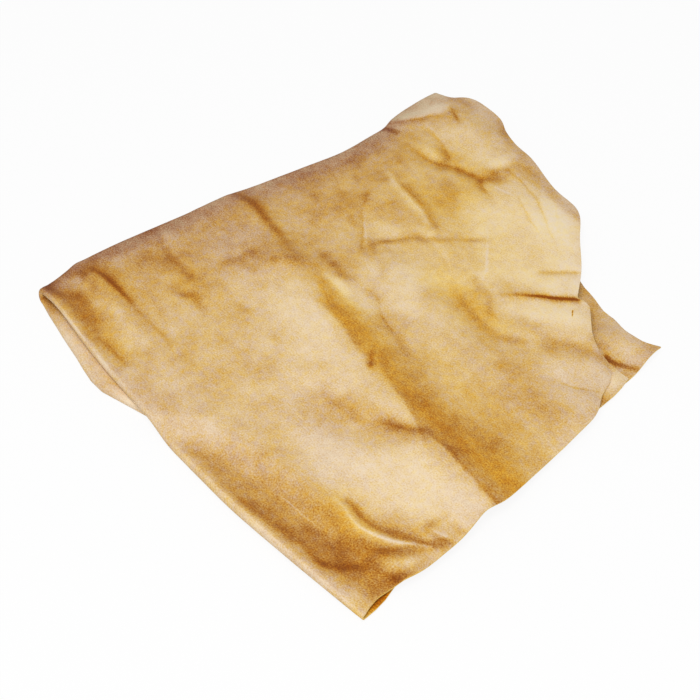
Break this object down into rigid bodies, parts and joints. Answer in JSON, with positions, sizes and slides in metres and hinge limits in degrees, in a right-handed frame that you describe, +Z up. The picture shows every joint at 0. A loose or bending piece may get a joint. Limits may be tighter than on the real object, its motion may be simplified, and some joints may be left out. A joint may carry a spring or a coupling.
{
  "type": "chamois leather",
  "caption": "Soft oil-tanned chamois skin with natural cut edges, folded in quarters and laid flat; the last fold opens like a book for wiping and drying.",
  "frame": {"origin": "under the middle of the folded skin's box, on the surface that it lies on", "axes": "+X along the front fold away from the spine, +Y along the spine away from the front fold, +Z up"},
  "size_m": [0.3098, 0.3396, 0.0149],
  "materials": {
    "chamois": "soft golden-cream suede with a short nap on both sides, matt"
  },
  "bodies": {
    "lower_half": {"bottom_leaf": "chamois", "third_leaf": "chamois", "lower_front_fold": "chamois", "outer_spine_fold": "chamois", "inner_spine_fold": "chamois", "middle_corner": "chamois"},
    "upper_half": {"top_leaf": "chamois", "second_leaf": "chamois", "upper_front_fold": "chamois"}
  },
  "joints": [
    {"name": "spine_fold", "type": "hinge", "parent": "lower_half", "child": "upper_half", "pos_m": [-0.1555, 0, 0.0076], "axis": [0, -1, 0], "range_deg": [0, 180], "deforming": ["outer_spine_fold", "inner_spine_fold", "middle_corner"]}
  ]
}
